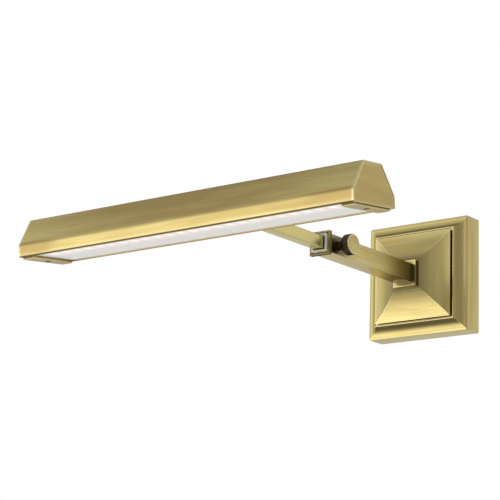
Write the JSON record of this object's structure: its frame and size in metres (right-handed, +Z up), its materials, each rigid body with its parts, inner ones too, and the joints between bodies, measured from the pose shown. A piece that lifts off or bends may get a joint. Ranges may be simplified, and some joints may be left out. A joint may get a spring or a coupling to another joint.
{
  "type": "picture light",
  "caption": "Wall picture light with a stepped square canopy, a telescoping square arm locked by a thumbscrew, and a long tilting trapezoid shade with a frosted LED diffuser.",
  "frame": {"origin": "centre of the mounting bracket's back face, in the plane of the wall", "axes": "+Y into the wall, so the lamp reaches out along -Y; +Z up; +X to the right of a person facing the wall, along the shade"},
  "size_m": [0.404, 0.4405, 0.1286],
  "materials": {
    "antique_brass": "brushed antique brass under lacquer, darker in the recesses and bright on the edges",
    "dark_bronze": "knurled rim with dark patina, brushed brass face",
    "zinc_steel": "zinc plated",
    "green_enamel": "green ground screw",
    "driver_case": "moulded, fine texture",
    "pale_nylon": "satin",
    "black_nylon": "satin",
    "lead_sleeve": "matte",
    "aluminium_tray": "mill finish",
    "white_board": "white solder mask",
    "led_phosphor": "silicone over phosphor",
    "frosted_acrylic": "frosted, faint warm spots under the LED chips"
  },
  "bodies": {
    "wall_mount": {"canopy": "antique_brass", "pyramid_cap": "antique_brass", "arm_collar": "antique_brass", "mounting_bracket": "zinc_steel", "canopy_screws": "antique_brass", "ground_screw": "green_enamel", "led_driver": "driver_case", "threaded_nipple": "antique_brass", "lock_washer": "zinc_steel", "nipple_nut": "zinc_steel", "root_plug": "antique_brass", "outer_tube": "antique_brass", "mouth_flange": "antique_brass", "guide_bushing": "pale_nylon", "clamp_insert": "antique_brass", "feed_lead": "lead_sleeve"},
    "sliding_arm": {"inner_tube": "antique_brass", "slide_shoe": "pale_nylon", "arm_tip": "antique_brass", "arm_lead": "lead_sleeve"},
    "clamp_pad": {"clamp_pad": "black_nylon"},
    "thumbscrew": {"thumbscrew_knob": "dark_bronze", "thumbscrew_shank": "antique_brass"},
    "lamp_head": {"shade": "antique_brass", "end_cap_left": "antique_brass", "end_cap_right": "antique_brass", "hinge_bracket": "antique_brass", "bracket_screws": "antique_brass", "bracket_nuts": "zinc_steel", "tilt_screw": "antique_brass", "tilt_nut": "antique_brass", "spring_washer": "zinc_steel", "friction_washers": "black_nylon", "led_tray": "aluminium_tray", "led_board": "white_board", "led_chips": "led_phosphor", "diffuser": "frosted_acrylic", "end_block_left": "antique_brass", "end_block_right": "antique_brass", "block_screws": "antique_brass", "head_lead": "lead_sleeve"}
  },
  "joints": [
    {"name": "arm_extend", "type": "slide", "parent": "wall_mount", "child": "sliding_arm", "axis": [0, -1, 0], "range_m": [-0.066, 0.038]},
    {"name": "head_tilt", "type": "hinge", "parent": "sliding_arm", "child": "lamp_head", "pos_m": [0, -0.374, 0], "axis": [1, 0, 0], "range_deg": [-30, 60]},
    {"name": "pad_travel", "type": "slide", "parent": "wall_mount", "child": "clamp_pad", "axis": [1, 0, 0], "range_m": [0, 0.0012]},
    {"name": "thumbscrew_turn", "type": "hinge", "parent": "clamp_pad", "child": "thumbscrew", "pos_m": [0, -0.1877, 0], "axis": [1, 0, 0], "range_deg": [0, 540]}
  ],
  "couplings": [
    {"joint": "thumbscrew_turn", "follows": "pad_travel", "rad_per_m": 7854}
  ]
}
